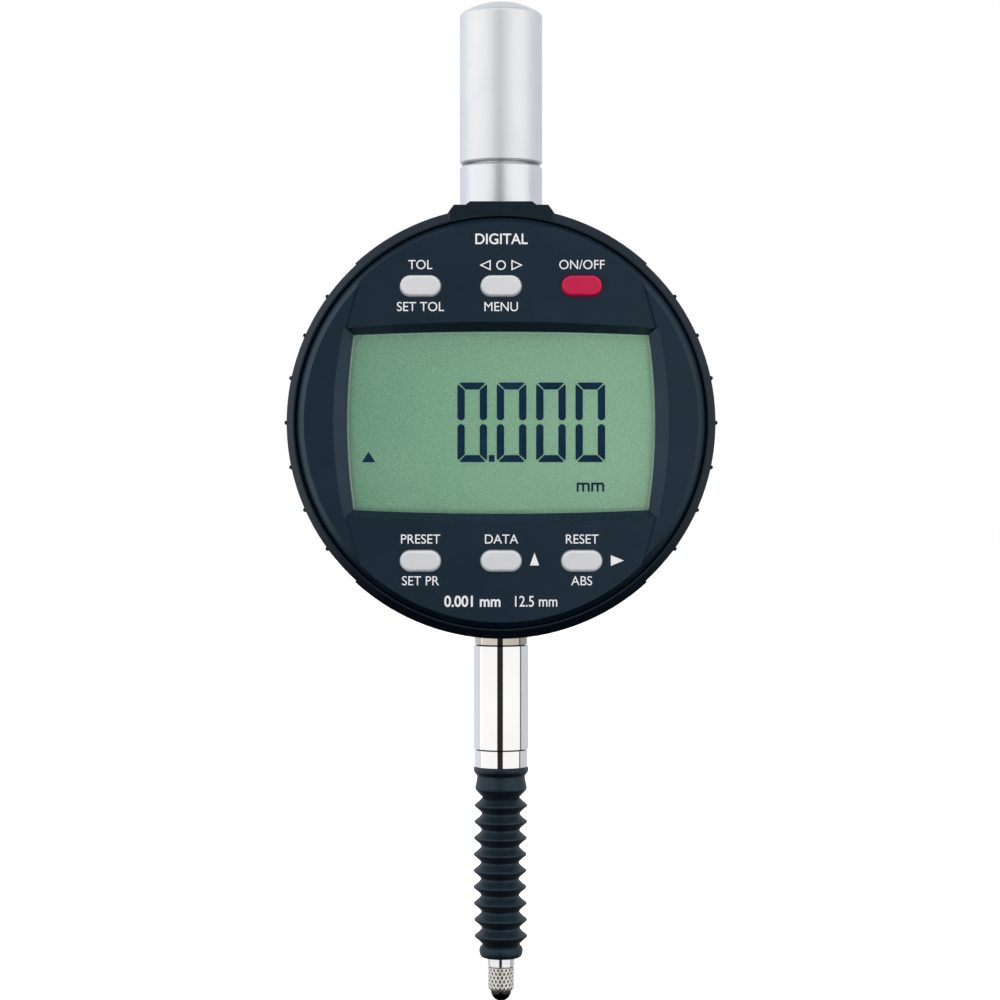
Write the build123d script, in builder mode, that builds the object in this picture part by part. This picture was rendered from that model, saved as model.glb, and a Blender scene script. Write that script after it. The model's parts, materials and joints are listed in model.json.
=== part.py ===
from build123d import *
import math
import os

# Digital dial indicator: a round case on an 8 mm stem, a display unit that turns in the case,
# and a sprung spindle under a rubber bellows.
#
# Millimetres. +Z runs up the stem, the dial faces -Y, and the origin is the middle of the
# stem's clamping length, on the spindle's axis. Depths through the case are "fronts": the
# distance in front of the spindle's axis, so a front of 15 is the plane y = -15.

# ---------------------------------------------------------------- driving dimensions

DIAL_Z = 39.65  # height of the dial's axis above the stem's middle
CASE_R = 30.5
CASE_FRONT = 14.2
CASE_REAR = -7.5
CASE_WALL = 3.0
CASE_BAND = 1.2  # the bevelled band around the display unit
POCKET_R = 29.06
PARTITION_FRONT = 5.5
PARTITION_REAR = 4.2
REAR_PLATE = 1.5

STEM_R = 4.0
STEM_LENGTH = 15.1
SPINDLE_R = 2.0
BUSH_R = 2.5
RUNNING_GAP = 0.03
TRAVEL = 12.5

UNIT_R = 28.9  # the display unit turns in the case's pocket
UNIT_REAR = 5.8
CREST = 15.0  # the two raised crescents beside the display
PANEL = 14.6  # the key panels above and below it
FACE_REAR = 13.0
UNIT_WALL = 1.4
EDGE_BEVEL = 1.2

CREASE_R = 61.2  # the curve along each crescent's inner edge
CREASE_X = 23.28
CREASE_STEP = 0.2
WINDOW_LAND = 13.4

KEY_PITCH = 11.35
KEY_ROWS = (19.2, -19.45)
KEY_SIZE = (5.65, 2.87)
KEY_GAP = 0.12
KEY_PROUD = 0.5

COLLAR_R = 6.0
COLLAR_Z = (70.3, 77.4)
CAP_Z = (77.8, 99.6)
CAP_DOME = 1.9

BELLOWS_TOP = -10.15
BELLOWS_PEAK_R = 3.93
BELLOWS_VALLEY_R = 2.68
BELLOWS_PITCH = 2.385
BELLOWS_FOLDS = 9
BELLOWS_FIRST_VALLEY = -14.67
BELLOWS_END = -38.1

# ---------------------------------------------------------------- planes and helpers

DIAL = Plane(origin=(0, 0, DIAL_Z), x_dir=(1, 0, 0), z_dir=(0, -1, 0))
SIDE = Plane.XZ  # half profiles of turned parts: x is the radius, y is the height


def at_front(front):
    """The plane facing the viewer at that distance in front of the spindle's axis."""
    return DIAL.offset(front)


def save(part, name):
    """Labels one finished piece and writes its STEP file."""
    part.label = name
    export_step(part, f"parts/{name}.step")


def turned(points):
    """A closed half profile, as (radius, height) points, turned about the Z axis."""
    with BuildPart() as piece:
        with BuildSketch(SIDE):
            with BuildLine():
                Polyline(*points, close=True)
            make_face()
        revolve(axis=Axis.Z)
    return piece


def tube(outer, inner, low, high):
    """A plain ring about the Z axis."""
    return turned([(inner, low), (outer, low), (outer, high), (inner, high)])


def between_crescents(middle, reach):
    """The outline between the two crescents, with middle as its half width at the centre."""
    edge = math.sqrt(CREASE_R**2 - reach**2) - (CREASE_R - middle)
    with BuildLine() as outline:
        ThreePointArc((-edge, reach), (-middle, 0), (-edge, -reach))
        Line((-edge, -reach), (edge, -reach))
        ThreePointArc((edge, -reach), (middle, 0), (edge, reach))
        Line((edge, reach), (-edge, reach))
    return outline


def pillow(corner, side, top):
    """Four arcs through the corners (+-x, +-z), bulging to side in x and to top in z."""
    x, z = corner
    with BuildLine() as outline:
        ThreePointArc((-x, z), (0, top), (x, z))
        ThreePointArc((x, z), (side, 0), (x, -z))
        ThreePointArc((x, -z), (0, -top), (-x, -z))
        ThreePointArc((-x, -z), (-side, 0), (-x, z))
    return outline


os.makedirs("parts", exist_ok=True)

# ---------------------------------------------------------------- case

BOSS_TOP_Z = 30.65  # above the dial's axis
BOSS_FOOT_Z = 29.5
BOSS_ROOT_Z = 20.0
BOSS_TOP_X = 6.65
BOSS_FOOT_X = 7.5
BOSS_FRONT_BEVEL = 0.25
LIP_RISE = 0.47
LIP_X = (4.4, 4.95)
GRIP_R = 30.25  # the two sides are set in a little, and ribbed
GRIP_REACH = 47.5
GRIP_REAR = -5.5
RIB_R = 0.3
RIB_PITCH = 12
RIBS_A_SIDE = 7
RIB_FRONT = 13.2
SPIGOT_R = 4.6  # the stem and the collar both seat in bores of this radius
POST_R = 2.6
POST_RING = 24.6
POST_ANGLES = (35, 145, 215, 325)
SCREW_R = 1.0
HUB_R = 5.6
HUB_GAP = 0.1
STOP_RING = 22.0
STOP_PIN_R = 0.9
TURN = 140
STOP_DEPTH = 1.0
STOP_PIN_END = 4.7  # just clear of the collar, which shows in the groove's floor at the top
GASKET_R = 28.9
GASKET_SEAT = 0.7
REAR_BEVEL = 0.6

# The stop pin's groove runs round to the two sides of a wedge at the bottom of the case.
stop_angle = math.radians(90 - TURN) - (STOP_PIN_R + 0.05) / STOP_RING
STOP_X = 40 * math.cos(stop_angle)
STOP_Z = 40 * math.sin(stop_angle)

# The grips end on the sides of two wedges, above and below.
GRIP_X = 60 * math.cos(math.radians(GRIP_REACH))
GRIP_Z = 60 * math.sin(math.radians(GRIP_REACH))

with BuildPart() as boss:
    with BuildSketch(at_front(CASE_REAR)):
        with BuildLine():
            Polyline(
                (-BOSS_FOOT_X, BOSS_ROOT_Z),
                (-BOSS_FOOT_X, BOSS_FOOT_Z),
                (-BOSS_TOP_X, BOSS_TOP_Z),
                (BOSS_TOP_X, BOSS_TOP_Z),
                (BOSS_FOOT_X, BOSS_FOOT_Z),
                (BOSS_FOOT_X, BOSS_ROOT_Z),
                close=True,
            )
        make_face()
    extrude(amount=CASE_FRONT - CASE_REAR)
    with BuildSketch(Plane.XY.offset(DIAL_Z + BOSS_ROOT_Z)):
        with BuildLine():
            Polyline(
                (-BOSS_FOOT_X, -CASE_REAR),
                (-BOSS_FOOT_X, BOSS_FRONT_BEVEL - CASE_FRONT),
                (BOSS_FRONT_BEVEL - BOSS_FOOT_X, -CASE_FRONT),
                (BOSS_FOOT_X - BOSS_FRONT_BEVEL, -CASE_FRONT),
                (BOSS_FOOT_X, BOSS_FRONT_BEVEL - CASE_FRONT),
                (BOSS_FOOT_X, -CASE_REAR),
                close=True,
            )
        make_face()
    extrude(amount=BOSS_TOP_Z - BOSS_ROOT_Z, mode=Mode.INTERSECT)

with BuildPart() as housing:
    with BuildSketch(at_front(CASE_REAR)):
        Circle(CASE_R)
    extrude(amount=CASE_FRONT - CASE_REAR)
    chamfer(housing.edges().group_by(Axis.Y)[0], CASE_BAND)
    chamfer(housing.edges().group_by(Axis.Y)[-1], REAR_BEVEL)
    add(boss.part)
    with BuildSketch(at_front(COLLAR_R + 0.1)):
        with BuildLine():
            Polyline(
                (-LIP_X[1], BOSS_TOP_Z),
                (-LIP_X[0], BOSS_TOP_Z + LIP_RISE),
                (LIP_X[0], BOSS_TOP_Z + LIP_RISE),
                (LIP_X[1], BOSS_TOP_Z),
                close=True,
            )
        make_face()
    extrude(amount=CASE_FRONT - COLLAR_R - 0.1)
    with BuildSketch(at_front(GRIP_REAR)):
        Circle(CASE_R + 1)
        Circle(GRIP_R, mode=Mode.SUBTRACT)
        with BuildLine():
            Polyline((-GRIP_X, GRIP_Z), (GRIP_X, GRIP_Z), (0, 0), close=True)
        make_face(mode=Mode.SUBTRACT)
        with BuildLine():
            Polyline((-GRIP_X, -GRIP_Z), (GRIP_X, -GRIP_Z), (0, 0), close=True)
        make_face(mode=Mode.SUBTRACT)
    extrude(amount=CASE_FRONT - GRIP_REAR, mode=Mode.SUBTRACT)
    with BuildSketch(at_front(GRIP_REAR)):
        for side in (0, 180):
            first = side - RIB_PITCH * (RIBS_A_SIDE - 1) / 2
            with PolarLocations(GRIP_R, RIBS_A_SIDE, first, RIB_PITCH * RIBS_A_SIDE):
                Circle(RIB_R)
    extrude(amount=RIB_FRONT - GRIP_REAR)
    with BuildSketch(at_front(PARTITION_FRONT)):
        Circle(POCKET_R)
    extrude(amount=CASE_FRONT - PARTITION_FRONT, mode=Mode.SUBTRACT)
    with BuildSketch(at_front(CASE_REAR)):
        Circle(CASE_R - CASE_WALL)
        with Locations((0, 27.5)):
            Rectangle(17, 10, mode=Mode.SUBTRACT)
        with Locations((0, -27.5)):
            Rectangle(14, 8, mode=Mode.SUBTRACT)
        for angle in POST_ANGLES:
            with PolarLocations(POST_RING, 1, angle):
                Circle(POST_R, mode=Mode.SUBTRACT)
    extrude(amount=PARTITION_REAR - CASE_REAR, mode=Mode.SUBTRACT)
    with BuildSketch(Plane.XY):
        Circle(SPIGOT_R)
    extrude(amount=DIAL_Z + BOSS_TOP_Z + 1, mode=Mode.SUBTRACT)
    with BuildSketch(at_front(PARTITION_REAR)):
        Circle(HUB_R + HUB_GAP)
    extrude(amount=PARTITION_FRONT - PARTITION_REAR, mode=Mode.SUBTRACT)
    with BuildSketch(at_front(PARTITION_FRONT)):
        Circle(STOP_RING + STOP_PIN_R + 0.25)
        Circle(STOP_RING - STOP_PIN_R - 0.25, mode=Mode.SUBTRACT)
        with BuildLine():
            Polyline((0, 0), (STOP_X, STOP_Z), (-STOP_X, STOP_Z), close=True)
        make_face(mode=Mode.SUBTRACT)
    extrude(amount=-STOP_DEPTH, mode=Mode.SUBTRACT)
    with BuildSketch(at_front(CASE_REAR)):
        Circle(GASKET_R + 0.6)
        Circle(GASKET_R - 0.6, mode=Mode.SUBTRACT)
    extrude(amount=GASKET_SEAT, mode=Mode.SUBTRACT)
    for angle in POST_ANGLES:
        with BuildSketch(at_front(CASE_REAR)):
            with PolarLocations(POST_RING, 1, angle):
                Circle(SCREW_R)
        extrude(amount=6.5, mode=Mode.SUBTRACT)

# ---------------------------------------------------------------- data port, lower right of the case

PORT_ANGLE = -62
PORT_FRONT = -1.2
PORT_SIZE = (9.0, 3.6)  # across the case's side, and front to back
PORT_DEPTH = 3.4

port_cos = math.cos(math.radians(PORT_ANGLE))
port_sin = math.sin(math.radians(PORT_ANGLE))


def port_plane(radius):
    """The plane facing outwards through the case's side at the data port."""
    return Plane(
        origin=(radius * port_cos, -PORT_FRONT, DIAL_Z + radius * port_sin),
        x_dir=(-port_sin, 0, port_cos),
        z_dir=(port_cos, 0, port_sin),
    )


with housing:
    with BuildSketch(port_plane(CASE_R - CASE_WALL - 1.5)):
        SlotOverall(*PORT_SIZE)
    extrude(amount=CASE_WALL + 3, mode=Mode.SUBTRACT)
    add(housing.part.solids().sort_by(SortBy.VOLUME)[-1], mode=Mode.REPLACE)
save(housing.part, "housing")

with BuildPart() as data_plug:
    with BuildSketch(port_plane(CASE_R - 1.8)):
        SlotOverall(PORT_SIZE[0] - 0.2, PORT_SIZE[1] - 0.2)
    extrude(amount=4)
    with BuildSketch(at_front(CASE_REAR)):
        Circle(CASE_R - 0.15)
    extrude(amount=CASE_FRONT - CASE_REAR, mode=Mode.INTERSECT)
save(data_plug.part, "data_port_plug")

with BuildPart() as data_socket:
    with BuildSketch(port_plane(CASE_R - CASE_WALL - PORT_DEPTH)):
        RectangleRounded(8.0, 2.8, 1.2)
    extrude(amount=PORT_DEPTH + 0.9)
    with BuildSketch(port_plane(CASE_R - CASE_WALL + 0.9)):
        Rectangle(6.6, 1.4)
    extrude(amount=-2.2, mode=Mode.SUBTRACT)
save(data_socket.part, "data_socket")

# ---------------------------------------------------------------- rear cover, gasket and screws

BATTERY_Z = -11.0  # the battery's centre, from the dial's axis
BATTERY_R = 10.0
BATTERY_THICK = 3.2
BATTERY_REAR = -7.2
HATCH_R = 10.75
HATCH_GAP = 0.15
LUG_R = 11.7
LUG_WIDTH = 5.0
LUG_THICK = 0.4
LUG_SEAT = 0.6
HATCH_TURN = 60

cover_front = CASE_REAR
cover_rear = CASE_REAR - REAR_PLATE

with BuildPart() as rear_cover:
    with BuildSketch(at_front(cover_rear)):
        Circle(CASE_R - REAR_BEVEL)
    extrude(amount=REAR_PLATE)
    chamfer(rear_cover.edges().group_by(Axis.Y)[-1], 0.5)
    with BuildSketch(at_front(cover_rear)):
        with Locations((0, BATTERY_Z)):
            Circle(HATCH_R + HATCH_GAP)
    extrude(amount=REAR_PLATE, mode=Mode.SUBTRACT)
    with BuildSketch(at_front(cover_front)):
        with Locations((0, BATTERY_Z)):
            Circle(LUG_R + 0.2)
    extrude(amount=-LUG_SEAT, mode=Mode.SUBTRACT)
    with BuildSketch(at_front(cover_rear)):
        with Locations(Location((0, BATTERY_Z), HATCH_TURN)):
            Rectangle(2 * (LUG_R + 0.2), LUG_WIDTH + 0.4)
    extrude(amount=REAR_PLATE, mode=Mode.SUBTRACT)
    for angle in POST_ANGLES:
        with BuildSketch(at_front(cover_rear)):
            with PolarLocations(POST_RING, 1, angle):
                Circle(SCREW_R + 0.15)
        extrude(amount=REAR_PLATE, mode=Mode.SUBTRACT)
        with BuildSketch(at_front(cover_rear)):
            with PolarLocations(POST_RING, 1, angle):
                Circle(2 * SCREW_R + 0.1)
        extrude(amount=0.9, mode=Mode.SUBTRACT)
save(rear_cover.part, "rear_cover")

with BuildPart() as gasket:
    with BuildSketch(Plane.XY.offset(DIAL_Z)):
        with Locations((GASKET_R, -(CASE_REAR + GASKET_SEAT / 2))):
            Ellipse(0.58, GASKET_SEAT / 2 - 0.01)
    revolve(axis=Axis((0, 0, DIAL_Z), (0, 1, 0)))
save(gasket.part, "rear_gasket")

with BuildPart() as cover_screws:
    for angle in POST_ANGLES:
        with BuildSketch(at_front(cover_rear + 0.1)):
            with PolarLocations(POST_RING, 1, angle):
                Circle(2 * SCREW_R)
        extrude(amount=0.8)
        with BuildSketch(at_front(cover_rear + 0.9)):
            with PolarLocations(POST_RING, 1, angle):
                Circle(SCREW_R)
        extrude(amount=6.0)
        with BuildSketch(at_front(cover_rear + 0.1)):
            with PolarLocations(POST_RING, 1, angle):
                RegularPolygon(0.85, 6)
        extrude(amount=0.55, mode=Mode.SUBTRACT)
save(cover_screws.part, "rear_cover_screws")

# ---------------------------------------------------------------- battery

TRAY_R = 11.2
TRAY_POCKET_R = 10.2
TRAY_FRONT = -3.05
TRAY_FLOOR = -3.7

with BuildPart() as tray:
    with BuildSketch(at_front(CASE_REAR)):
        with Locations((0, BATTERY_Z)):
            Circle(TRAY_R)
    extrude(amount=TRAY_FRONT - CASE_REAR)
    with BuildSketch(at_front(CASE_REAR)):
        with Locations((0, BATTERY_Z)):
            Circle(TRAY_POCKET_R)
    extrude(amount=TRAY_FLOOR - CASE_REAR, mode=Mode.SUBTRACT)
save(tray.part, "battery_tray")

with BuildPart() as battery:
    with BuildSketch(at_front(BATTERY_REAR)):
        with Locations((0, BATTERY_Z)):
            Circle(BATTERY_R)
    extrude(amount=BATTERY_THICK)
    chamfer(battery.edges().group_by(Axis.Y)[0], 0.6)
    fillet(battery.edges().group_by(Axis.Y)[-1], 0.3)
save(battery.part, "coin_battery")

with BuildPart() as contacts:
    with BuildSketch(at_front(BATTERY_REAR + BATTERY_THICK)):
        with Locations((0, BATTERY_Z)):
            Rectangle(9, 3)
    extrude(amount=TRAY_FLOOR - BATTERY_REAR - BATTERY_THICK)
    with BuildSketch(at_front(CASE_REAR + 0.02)):
        with Locations((0, BATTERY_Z + 7.5)):
            Rectangle(4, 3)
    extrude(amount=BATTERY_REAR - CASE_REAR - 0.02)
save(contacts.part, "battery_contacts")

with BuildPart() as hatch:
    with BuildSketch(at_front(CASE_REAR - 0.1)):
        with Locations((0, BATTERY_Z)):
            Circle(HATCH_R)
    extrude(amount=-REAR_PLATE + 0.2)
    chamfer(hatch.edges().group_by(Axis.Y)[-1], 0.25)
    with BuildSketch(at_front(CASE_REAR - 0.1)):
        with Locations((0, BATTERY_Z)):
            Circle(LUG_R)
        with Locations((0, BATTERY_Z)):
            Rectangle(2 * LUG_R, LUG_WIDTH, mode=Mode.INTERSECT)
    extrude(amount=-LUG_THICK)
    with BuildSketch(at_front(cover_rear + 0.1)):
        with Locations((0, BATTERY_Z)):
            SlotOverall(13, 1.7)
    extrude(amount=0.75, mode=Mode.SUBTRACT)
save(hatch.part, "battery_cover")

# ---------------------------------------------------------------- stem, collar, bushes and cap

NOSE_R = 3.83
SEAM_R = 3.6  # the fine grooves at both ends of the clamping length
SEAM_WIDTH = 0.18
NOSE_END = BELLOWS_TOP
STUB_R = 3.1  # the stub that the bellows' upper collar grips
STUB_END = -13.8
NECK_R = 3.83
NECK_END = 9.55
STEM_END = 17.0
STEM_BORE_R = 2.15
LOWER_BUSH_TOP = -5.8

half = STEM_LENGTH / 2
stem = turned(
    [
        (BUSH_R, STUB_END),
        (STUB_R, STUB_END),
        (STUB_R, NOSE_END),
        (NOSE_R, NOSE_END),
        (NOSE_R, -half - SEAM_WIDTH),
        (SEAM_R, -half - SEAM_WIDTH),
        (SEAM_R, -half),
        (STEM_R - 0.05, -half),
        (STEM_R, -half + 0.05),
        (STEM_R, half - 0.05),
        (STEM_R - 0.05, half),
        (SEAM_R, half),
        (SEAM_R, half + SEAM_WIDTH),
        (NECK_R, half + SEAM_WIDTH),
        (NECK_R, NECK_END),
        (SPIGOT_R, NECK_END),
        (SPIGOT_R, STEM_END),
        (STEM_BORE_R, STEM_END),
        (STEM_BORE_R, LOWER_BUSH_TOP),
        (BUSH_R, LOWER_BUSH_TOP),
    ]
)
save(stem.part, "mounting_stem")

bush_bore = SPINDLE_R + RUNNING_GAP
save(tube(BUSH_R, bush_bore, STUB_END, LOWER_BUSH_TOP).part, "lower_guide_bush")
save(tube(BUSH_R, bush_bore, 73.5, 82.2).part, "upper_guide_bush")
save(tube(2.95, STEM_BORE_R, STEM_END, 18.8).part, "lower_stop_ring")

COLLAR_SPIGOT_LOW = 62.25
THREAD_R = 4.7

collar = turned(
    [
        (BUSH_R, COLLAR_SPIGOT_LOW),
        (SPIGOT_R, COLLAR_SPIGOT_LOW),
        (SPIGOT_R, COLLAR_Z[0]),
        (COLLAR_R, COLLAR_Z[0]),
        (COLLAR_R, COLLAR_Z[1] - 0.25),
        (COLLAR_R - 0.25, COLLAR_Z[1]),
        (THREAD_R - 0.25, COLLAR_Z[1]),
        (THREAD_R - 0.25, COLLAR_Z[1] + 0.6),
        (THREAD_R, COLLAR_Z[1] + 0.8),
        (THREAD_R, 81.9),
        (THREAD_R - 0.3, 82.2),
        (BUSH_R, 82.2),
    ]
)
save(collar.part, "upper_collar")

CAP_BORE_R = 4.8
CAP_CEILING = 99.3
CAP_EDGE = 0.6  # rounding between the cap's side and its dome

with BuildPart() as cap:
    with BuildSketch(SIDE):
        with BuildLine():
            Polyline(
                (0, CAP_Z[1] + CAP_DOME),
                (0, CAP_CEILING),
                (CAP_BORE_R, CAP_CEILING),
                (CAP_BORE_R, CAP_Z[0]),
                (COLLAR_R - 0.2, CAP_Z[0]),
                (COLLAR_R, CAP_Z[0] + 0.2),
                (COLLAR_R, CAP_Z[1]),
            )
            ThreePointArc(
                (COLLAR_R, CAP_Z[1]),
                (COLLAR_R / 2, CAP_Z[1] + 0.74 * CAP_DOME),
                (0, CAP_Z[1] + CAP_DOME),
            )
        make_face()
    revolve(axis=Axis.Z)
    rim = cap.edges().filter_by_position(Axis.Z, CAP_Z[1] - 0.01, CAP_Z[1] + 0.01)
    fillet(rim, CAP_EDGE)
save(cap.part, "protective_cap")

# ---------------------------------------------------------------- spindle and what it carries

SPINDLE_LOW = -39.5
SPINDLE_HIGH = 84.5
TIP_THREAD_R = 1.25
TIP_THREAD_TOP = -34.5
CONTACT_LOW = -43.45
CONTACT_SHOULDER = 0.7
CONTACT_R = 1.9
BALL_R = 1.5
BALL_Z = -42.95
CARRIER_Z = (19.0, 33.0)
CARRIER_FRONT = 2.6
CARRIER_X = 5.0
PIN_Z = 24.0
PIN_R = 1.0
PIN_END = -12.6
CLAMP_Z = 29.5
SCALE_X = (9.0, 15.0)
SCALE_Z = (19.0, 45.0)
ARM_Z = 24.0

with BuildPart() as spindle:
    with BuildSketch(Plane.XY.offset(SPINDLE_LOW)):
        Circle(SPINDLE_R)
    extrude(amount=SPINDLE_HIGH - SPINDLE_LOW)
    chamfer(spindle.edges().group_by(Axis.Z)[0], 0.25)
    with BuildSketch(Plane.XY.offset(SPINDLE_LOW)):
        Circle(TIP_THREAD_R)
    extrude(amount=TIP_THREAD_TOP - SPINDLE_LOW, mode=Mode.SUBTRACT)
    with BuildSketch(Plane.XY.offset(SPINDLE_HIGH - 5)):
        Circle(TIP_THREAD_R)
    extrude(amount=5, mode=Mode.SUBTRACT)
save(spindle.part, "spindle")

with BuildPart() as contact:
    with BuildSketch(SIDE):
        with BuildLine():
            Polyline(
                (0, CONTACT_LOW),
                (1.15, CONTACT_LOW),
                (CONTACT_R, CONTACT_LOW + CONTACT_SHOULDER),
                (CONTACT_R, SPINDLE_LOW - 0.2),
                (CONTACT_R - 0.2, SPINDLE_LOW),
                (TIP_THREAD_R, SPINDLE_LOW),
                (TIP_THREAD_R, TIP_THREAD_TOP - 1),
                (0, TIP_THREAD_TOP - 1),
                close=True,
            )
        make_face()
    revolve(axis=Axis.Z)
    with Locations((0, 0, BALL_Z)):
        Sphere(BALL_R, mode=Mode.SUBTRACT)
save(contact.part, "contact_point")

with BuildPart() as ball:
    with Locations((0, 0, BALL_Z)):
        Sphere(BALL_R)
save(ball.part, "contact_ball")

with BuildPart() as lifting_button:
    with BuildSketch(Plane.XY.offset(SPINDLE_HIGH)):
        Circle(3.4)
    extrude(amount=1.9)
    chamfer(lifting_button.edges().group_by(Axis.Z)[-1], 0.4)
    with BuildSketch(Plane.XY.offset(SPINDLE_HIGH)):
        Circle(TIP_THREAD_R)
    extrude(amount=-3.6)
save(lifting_button.part, "lifting_button")

with BuildPart() as carrier:
    with BuildSketch(Plane.XY.offset(CARRIER_Z[0])):
        Rectangle(2 * CARRIER_X, 2 * CARRIER_FRONT)
    extrude(amount=CARRIER_Z[1] - CARRIER_Z[0])
    chamfer(carrier.edges().filter_by(Axis.Z).group_by(Axis.X)[0], 0.8)
    with BuildSketch(Plane.XY.offset(ARM_Z)):
        with Locations(((CARRIER_X + SCALE_X[1]) / 2, -0.25)):
            Rectangle(SCALE_X[1] - CARRIER_X, 1.5)
    extrude(amount=CARRIER_Z[1] - ARM_Z)
    with BuildSketch(Plane.XY.offset(CARRIER_Z[0])):
        Circle(SPINDLE_R)
    extrude(amount=CARRIER_Z[1] - CARRIER_Z[0], mode=Mode.SUBTRACT)
    with BuildSketch(Plane.YZ):
        with Locations((0, PIN_Z)):
            Circle(PIN_R)
    extrude(amount=-CARRIER_X, mode=Mode.SUBTRACT)
    with BuildSketch(Plane.YZ):
        with Locations((0, CLAMP_Z)):
            Circle(0.8)
    extrude(amount=-CARRIER_X, mode=Mode.SUBTRACT)
save(carrier.part, "scale_carrier")

with BuildPart() as guide_pin:
    with BuildSketch(Plane.YZ.offset(PIN_END)):
        with Locations((0, PIN_Z)):
            Circle(PIN_R)
    extrude(amount=-PIN_END)
    with BuildSketch(Plane.XY.offset(PIN_Z - 2)):
        Circle(SPINDLE_R)
    extrude(amount=4, mode=Mode.SUBTRACT)
save(guide_pin.part, "guide_pin")

with BuildPart() as clamp_screw:
    with BuildSketch(Plane.YZ.offset(-CARRIER_X)):
        with Locations((0, CLAMP_Z)):
            Circle(0.8)
    extrude(amount=CARRIER_X)
    with BuildSketch(Plane.XY.offset(CLAMP_Z - 2)):
        Circle(SPINDLE_R)
    extrude(amount=4, mode=Mode.SUBTRACT)
    with BuildSketch(Plane.YZ.offset(-CARRIER_X)):
        with Locations((0, CLAMP_Z)):
            Circle(1.4)
    extrude(amount=-0.9)
save(clamp_screw.part, "carrier_clamp_screw")

with BuildPart() as scale:
    with BuildSketch(Plane.XY.offset(SCALE_Z[0])):
        with Locations((sum(SCALE_X) / 2, -1.5)):
            Rectangle(SCALE_X[1] - SCALE_X[0], 1.0)
    extrude(amount=SCALE_Z[1] - SCALE_Z[0])
save(scale.part, "measuring_scale")

SPRING_WIRE_R = 0.2
SPRING_R = 2.75
SPRING_TURNS = 12

spring_low = CARRIER_Z[1] + SPRING_WIRE_R
spring_high = COLLAR_SPIGOT_LOW - SPRING_WIRE_R
with BuildPart() as spring:
    with BuildLine():
        coil = Helix(
            pitch=(spring_high - spring_low) / SPRING_TURNS,
            height=spring_high - spring_low,
            radius=SPRING_R,
            center=(0, 0, spring_low),
        )
    with BuildSketch(Plane(origin=coil @ 0, z_dir=coil % 0)):
        Circle(SPRING_WIRE_R)
    sweep(path=coil, is_frenet=True)
save(spring.part, "measuring_spring")

# ---------------------------------------------------------------- guide rail and reading head

RAIL_X = (-13.0, -9.0)
RAIL_REAR = -2.5
RAIL_Z = (21.0, 41.0)
BOARD_X = (8.2, 21.0)
BOARD_Z = (30.0, 47.0)
BOARD_THICK = 1.0
CHIP_FRONT = 2.3
CHIP_Z = (31.0, 41.0)

with BuildPart() as rail:
    with BuildSketch(Plane.XY.offset(RAIL_Z[0])):
        with Locations((sum(RAIL_X) / 2, -(PARTITION_REAR + RAIL_REAR) / 2)):
            Rectangle(RAIL_X[1] - RAIL_X[0], PARTITION_REAR - RAIL_REAR)
    extrude(amount=RAIL_Z[1] - RAIL_Z[0])
    with BuildSketch(Plane.XY.offset(RAIL_Z[0])):
        with Locations((sum(RAIL_X) / 2, 0)):
            Rectangle(RAIL_X[1] - RAIL_X[0], 2 * (PIN_R + RUNNING_GAP))
    extrude(amount=RAIL_Z[1] - RAIL_Z[0] - 1.5, mode=Mode.SUBTRACT)
save(rail.part, "guide_rail")

with BuildPart() as board:
    with BuildSketch(at_front(PARTITION_REAR)):
        with Locations((sum(BOARD_X) / 2, sum(BOARD_Z) / 2 - DIAL_Z)):
            Rectangle(BOARD_X[1] - BOARD_X[0], BOARD_Z[1] - BOARD_Z[0])
    extrude(amount=-BOARD_THICK)
save(board.part, "sensor_board")

with BuildPart() as chip:
    with BuildSketch(at_front(PARTITION_REAR - BOARD_THICK)):
        with Locations((sum(SCALE_X) / 2, sum(CHIP_Z) / 2 - DIAL_Z)):
            Rectangle(SCALE_X[1] - SCALE_X[0], CHIP_Z[1] - CHIP_Z[0])
    extrude(amount=CHIP_FRONT - PARTITION_REAR + BOARD_THICK)
save(chip.part, "reading_head")

FLEX_THICK = 0.15
FLEX_WIDTH = 5.0
FLEX_END = 6.9

flex_front = PARTITION_REAR - BOARD_THICK
with BuildPart() as flex:
    with BuildSketch(Plane.XY.offset(DIAL_Z - FLEX_WIDTH / 2)):
        with BuildLine():
            Polyline(
                (BOARD_X[0] + 0.7, -flex_front),
                (BOARD_X[0] + 0.7, -flex_front + FLEX_THICK),
                (-FLEX_THICK, -flex_front + FLEX_THICK),
                (-FLEX_THICK, -FLEX_END),
                (0, -FLEX_END),
                (0, -flex_front),
                close=True,
            )
        make_face()
    extrude(amount=FLEX_WIDTH)
save(flex.part, "flex_cable")

# ---------------------------------------------------------------- bellows

LIP_R = 4.0
WALL = 0.45


def bellows_outline():
    """The outside of the bellows, from its lip down, as (radius, height) points."""
    points = [
        (LIP_R - 0.1, BELLOWS_TOP),
        (LIP_R, BELLOWS_TOP - 0.35),
        (LIP_R - 0.12, BELLOWS_TOP - 0.85),
        (3.5, BELLOWS_TOP - 1.35),
        (3.5, BELLOWS_TOP - 1.7),
        (3.76, BELLOWS_TOP - 3.1),
        (3.66, BELLOWS_TOP - 3.45),
        (BELLOWS_VALLEY_R, BELLOWS_FIRST_VALLEY),
    ]
    for fold in range(BELLOWS_FOLDS):
        peak = BELLOWS_FIRST_VALLEY - (fold + 0.5) * BELLOWS_PITCH
        points.append((BELLOWS_PEAK_R, peak + 0.12))
        points.append((BELLOWS_PEAK_R, peak - 0.12))
        points.append((BELLOWS_VALLEY_R, peak - 0.5 * BELLOWS_PITCH))
    low = BELLOWS_FIRST_VALLEY - BELLOWS_FOLDS * BELLOWS_PITCH
    points += [
        (3.15, low - 0.45),
        (3.2, BELLOWS_END + 0.75),
        (2.95, BELLOWS_END + 0.1),
        (2.8, BELLOWS_END),
    ]
    return points


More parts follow.
